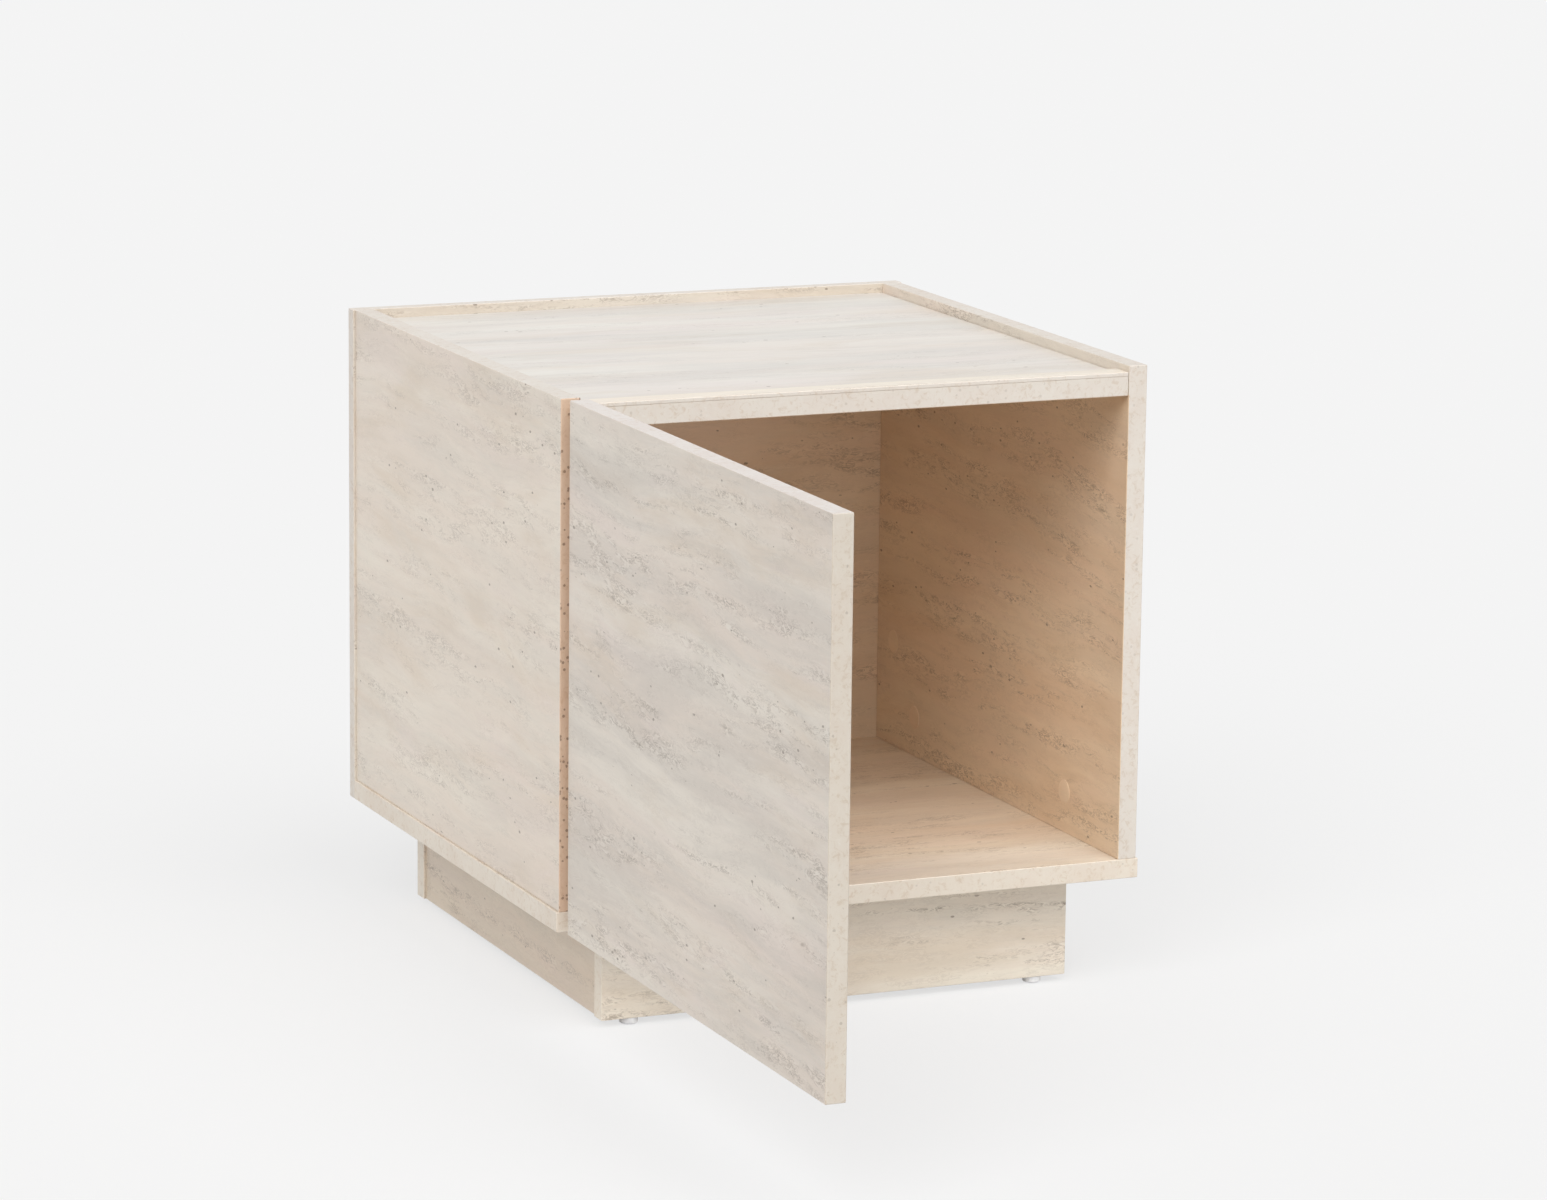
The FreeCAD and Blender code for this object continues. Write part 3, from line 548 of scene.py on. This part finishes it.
def round_fittings_tree():
    """Geometry Nodes: a domed round head with a pointed shank, set on every point along its own axis."""
    tree = bpy.data.node_groups.new("round_fittings", "GeometryNodeTree")
    face = tree.interface
    face.new_socket("Places", in_out="INPUT", socket_type="NodeSocketGeometry")
    for label in ("Radius", "Height", "Rounding", "Shank Radius", "Shank Length", "Recess"):
        face.new_socket(label, in_out="INPUT", socket_type="NodeSocketFloat")
    face.new_socket("Finish", in_out="INPUT", socket_type="NodeSocketMaterial")
    face.new_socket("Fittings", in_out="OUTPUT", socket_type="NodeSocketGeometry")
    given = tree.nodes.new("NodeGroupInput").outputs
    out = tree.nodes.new("NodeGroupOutput").inputs

    def compared(operation, value):
        return add(tree, "FunctionNodeCompare", {0: value, 1: 0.0}, operation=operation).outputs[0]

    def chosen(test, otherwise, mesh):
        made = add(tree, "GeometryNodeSwitch", {"Switch": test, "False": otherwise, "True": mesh},
                   input_type="GEOMETRY")
        return made.outputs[0]

    def lowered(mesh, drop):
        shift = add(tree, "ShaderNodeCombineXYZ", {"Z": calc(tree, "MULTIPLY", drop, -1.0)}).outputs[0]
        return add(tree, "GeometryNodeTransform", {"Geometry": mesh, "Translation": shift}).outputs[0]

    def cylinder(radius, depth, rings):
        made = add(tree, "GeometryNodeMeshCylinder",
                   {"Vertices": round_segments, "Side Segments": 1, "Fill Segments": rings,
                    "Radius": radius, "Depth": depth})
        return made.outputs["Mesh"]

    place = add(tree, "GeometryNodeInputPosition").outputs[0]
    parts = add(tree, "ShaderNodeSeparateXYZ", {0: place}).outputs
    flat = vector_calc(tree, "MULTIPLY", place, (1.0, 1.0, 0.0))
    reach = add(tree, "ShaderNodeVectorMath", {0: flat}, operation="LENGTH").outputs["Value"]
    share = calc(tree, "DIVIDE", reach, given["Radius"])
    rest = calc(tree, "SUBTRACT", 1.0, calc(tree, "POWER", share, 2.0))
    arch = calc(tree, "SQRT", calc(tree, "MAXIMUM", rest, 0.0))
    fall = calc(tree, "MULTIPLY", calc(tree, "SUBTRACT", arch, 1.0), given["Rounding"])
    dome = add(tree, "ShaderNodeCombineXYZ", {"Z": fall}).outputs[0]
    head = add(tree, "GeometryNodeSetPosition", {
        "Geometry": cylinder(given["Radius"], given["Height"], round_rings),
        "Selection": compared("GREATER_THAN", parts[2]), "Offset": dome}).outputs[0]
    head = lowered(head, calc(tree, "DIVIDE", given["Height"], 2.0))

    slot_width = calc(tree, "MULTIPLY", given["Recess"], recess_slot_share)
    slot_depth = calc(tree, "MULTIPLY", given["Height"], 2 * recess_depth_share)
    cut = add(tree, "GeometryNodeMeshBoolean", {"Mesh 1": head}, operation="DIFFERENCE", solver="EXACT")
    for sides in ((given["Recess"], slot_width), (slot_width, given["Recess"])):
        size = add(tree, "ShaderNodeCombineXYZ", {0: sides[0], 1: sides[1], 2: slot_depth}).outputs[0]
        slot = add(tree, "GeometryNodeMeshCube", {"Size": size}).outputs[0]
        tree.links.new(slot, cut.inputs["Mesh 2"])
    head = chosen(compared("GREATER_THAN", given["Recess"]), head, cut.outputs[0])

    length = calc(tree, "ADD", given["Shank Length"], head_bite)
    narrow = vector_calc(tree, "MULTIPLY", place, (point_share, point_share, 1.0))
    shank = add(tree, "GeometryNodeSetPosition", {
        "Geometry": cylinder(given["Shank Radius"], length, 1),
        "Selection": compared("LESS_THAN", parts[2]), "Position": narrow}).outputs[0]
    reach_down = calc(tree, "SUBTRACT", calc(tree, "DIVIDE", length, 2.0), head_bite)
    below = calc(tree, "ADD", given["Height"], reach_down)
    joined = add(tree, "GeometryNodeJoinGeometry")
    for mesh in (head, lowered(shank, below)):
        tree.links.new(mesh, joined.inputs[0])
    fitting = chosen(compared("GREATER_THAN", given["Shank Length"]), head, joined.outputs[0])

    axis = add(tree, "GeometryNodeInputNamedAttribute", {"Name": "axis"},
               data_type="FLOAT_VECTOR").outputs[0]
    turn = add(tree, "FunctionNodeAlignRotationToVector", {"Vector": axis}, axis="Z").outputs[0]
    placed = add(tree, "GeometryNodeInstanceOnPoints",
                 {"Points": given["Places"], "Instance": fitting, "Rotation": turn}).outputs[0]
    real = add(tree, "GeometryNodeRealizeInstances", {"Geometry": placed}).outputs[0]
    done = add(tree, "GeometryNodeSetMaterial",
               {"Geometry": real, "Material": given["Finish"]}).outputs[0]
    tree.links.new(done, out["Fittings"])
    return tree


def solid_boxes(node):
    """Low and high corner of each solid of a modelled node, from a merged copy of its mesh."""
    copy = bmesh.new()
    copy.from_mesh(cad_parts[node].data)
    bmesh.ops.remove_doubles(copy, verts=copy.verts, dist=merge_distance)
    copy.verts.index_update()
    seen = set()
    boxes = []
    for start in copy.verts:
        if start.index in seen:
            continue
        seen.add(start.index)
        reached = [start]
        for vertex in reached:
            for edge in vertex.link_edges:
                other = edge.other_vert(vertex)
                if other.index not in seen:
                    seen.add(other.index)
                    reached.append(other)
        corners = [vertex.co.copy() for vertex in reached]
        boxes.append((Vector(map(min, zip(*corners))), Vector(map(max, zip(*corners)))))
    copy.free()
    return boxes


def towards_middle(low, high):
    """The thinnest axis of a box, pointing to the middle of the storage space."""
    size = high - low
    axis = min(range(3), key=lambda key: size[key])
    middle = (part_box("base")[1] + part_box("top")[0]) / 2
    pointing = Vector((0, 0, 0))
    pointing[axis] = math.copysign(1, middle[axis] - (low[axis] + high[axis]) / 2)
    return pointing


round_fittings = round_fittings_tree()
RIGHT, DOWN = Vector((1, 0, 0)), Vector((0, 0, -1))

# Body, slot, finish, the way the head faces, where None is towards the storage space, and in metres:
# the head's height, its rounding, the shank's radius and the cross recess
FITTINGS = {
    "glides": ("carcass", "glide_plastic", glide_white, DOWN, 0.0060, 0.0016, 0.0012, 0.0),
    "cam_covers": ("carcass", "cover_plastic", printed_foil, None, 0.0008, 0.0005, 0.0, 0.0),
    "plinth_screws": ("carcass", "zinc_steel", screw_zinc, DOWN, 0.0025, 0.0012, 0.0020, 0.0046),
    "hinge_plate_screws": ("carcass", "zinc_steel", screw_zinc, RIGHT, 0.0015, 0.0006, 0.0025, 0.0050),
    "hinge_arm_screws": ("carcass", "zinc_steel", screw_zinc, RIGHT, 0.0012, 0.0004, 0.0022, 0.0042),
    "hinge_cup_screws": ("door_leaf", "zinc_steel", screw_zinc, RIGHT, 0.0005, 0.0002, 0.0018, 0.0040),
    "door_bumpers": ("door_leaf", "bumper_rubber", pad_clear, RIGHT, 0.0016, 0.0011, 0.0, 0.0),
}


def set_fittings(node, body, slot, finish, facing, height, rounding, shank_radius, recess):
    """Replace a modelled group of round fittings by finished ones in the same places."""
    boxes = solid_boxes(node)
    axes = [facing or towards_middle(low, high) for low, high in boxes]
    crowns = [(low + high) / 2 + axis * abs((high - low).dot(axis)) / 2
              for axis, (low, high) in zip(axes, boxes)]
    size = boxes[0][1] - boxes[0][0]
    length = abs(size.dot(axes[0]))
    radius = max(size - axes[0] * size.dot(axes[0])) / 2
    places = bpy.data.meshes.new(f"{node}_places")
    places.from_pydata(crowns, [], [])
    stored = places.attributes.new("axis", "FLOAT_VECTOR", "POINT")
    for point, axis in zip(stored.data, axes):
        point.vector = axis
    holder = bpy.data.objects.new(f"{node}_places", places)
    scene.collection.objects.link(holder)
    setter = holder.modifiers.new("set", "NODES")
    setter.node_group = round_fittings
    shank_length = length - height if shank_radius else 0.0
    sizes = {"Radius": radius, "Height": height, "Rounding": rounding, "Shank Radius": shank_radius,
             "Shank Length": shank_length, "Recess": recess, "Finish": finish}
    for item in round_fittings.interface.items_tree:
        if item.in_out == "INPUT" and item.name in sizes:
            setter[item.identifier] = sizes[item.name]
    evaluated = holder.evaluated_get(bpy.context.evaluated_depsgraph_get())
    mesh = bpy.data.meshes.new_from_object(evaluated)
    bpy.data.objects.remove(holder)
    mesh.name = f"{node}_finished"
    while mesh.materials[0] is None:
        mesh.materials.pop(index=0)
    for polygon in mesh.polygons:
        polygon.use_smooth = True
    mesh.set_sharp_from_angle(angle=sharp_angle)
    piece = bpy.data.objects.new(f"{node}_finished", mesh)
    scene.collection.objects.link(piece)
    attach(piece, body)
    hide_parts(node)


for node, values in FITTINGS.items():
    set_fittings(node, *values)


def add_camera():
    """Camera where the photograph was taken."""
    data = bpy.data.cameras.new("photo_camera")
    data.sensor_fit = "HORIZONTAL"
    data.sensor_width = sensor_width_mm
    data.lens = camera_lens_mm
    camera = bpy.data.objects.new("photo_camera", data)
    turn = (Matrix.Rotation(camera_azimuth, 4, "Z") @ Matrix.Rotation(camera_pitch, 4, "X")
            @ Matrix.Rotation(camera_roll, 4, "Z"))
    camera.matrix_world = Matrix.Translation(camera_place) @ turn
    scene.collection.objects.link(camera)
    scene.camera = camera


def seen_directly(tree):
    """1 for rays that show the studio to the eye, straight or in a reflection; 0 for its light."""
    rays = add(tree, "ShaderNodeLightPath").outputs
    shown = calc(tree, "MAXIMUM", rays["Is Glossy Ray"], rays["Is Transmission Ray"])
    return calc(tree, "MAXIMUM", rays["Is Camera Ray"], shown)


def add_floor():
    """Pale paper floor that takes the table's soft shadow."""
    mesh = bpy.data.meshes.new("studio_floor")
    half = floor_half_width
    corners = [(-half, -half, 0), (half, -half, 0), (half, half, 0), (-half, half, 0)]
    mesh.from_pydata(corners, [], [(0, 1, 2, 3)])
    floor = bpy.data.objects.new("studio_floor", mesh)
    scene.collection.objects.link(floor)
    material = bpy.data.materials.new("studio_paper")
    material.use_nodes = True
    tree = material.node_tree
    tree.nodes.clear()
    tone = (floor_tone, floor_tone, floor_tone, 1)
    paper = add(tree, "ShaderNodeBsdfDiffuse", {"Color": tone}).outputs[0]
    plain = add(tree, "ShaderNodeEmission", {"Strength": background_grey}).outputs[0]
    share = calc(tree, "MULTIPLY", seen_directly(tree), plain_floor_share)
    mixed = add(tree, "ShaderNodeMixShader", {0: share, 1: paper, 2: plain}).outputs[0]
    add(tree, "ShaderNodeOutputMaterial", {"Surface": mixed})
    mesh.materials.append(material)


def add_light():
    """White room with broad lamps, from the front on the right, from the left and from low in front."""
    world = bpy.data.worlds.new("studio_room")
    scene.world = world
    world.use_nodes = True
    tree = world.node_tree
    tree.nodes.clear()
    lit, shown = (add(tree, "ShaderNodeBackground", {"Color": PLAIN, "Strength": strength}).outputs[0]
                  for strength in (room_strength, background_grey))
    mixed = add(tree, "ShaderNodeMixShader", {0: seen_directly(tree), 1: lit, 2: shown}).outputs[0]
    add(tree, "ShaderNodeOutputWorld", {"Surface": mixed})
    for name, (azimuth, elevation, spread, strength) in LAMPS.items():
        lamp = bpy.data.lights.new(name, "SUN")
        lamp.energy = strength
        lamp.angle = math.radians(spread)
        holder = bpy.data.objects.new(name, lamp)
        turn = (Matrix.Rotation(math.radians(azimuth), 3, "Z")
                @ Matrix.Rotation(math.radians(90 - elevation), 3, "X"))
        holder.rotation_euler = turn.to_euler()
        scene.collection.objects.link(holder)


add_camera()
add_floor()
add_light()
scene.view_settings.view_transform = "Standard"
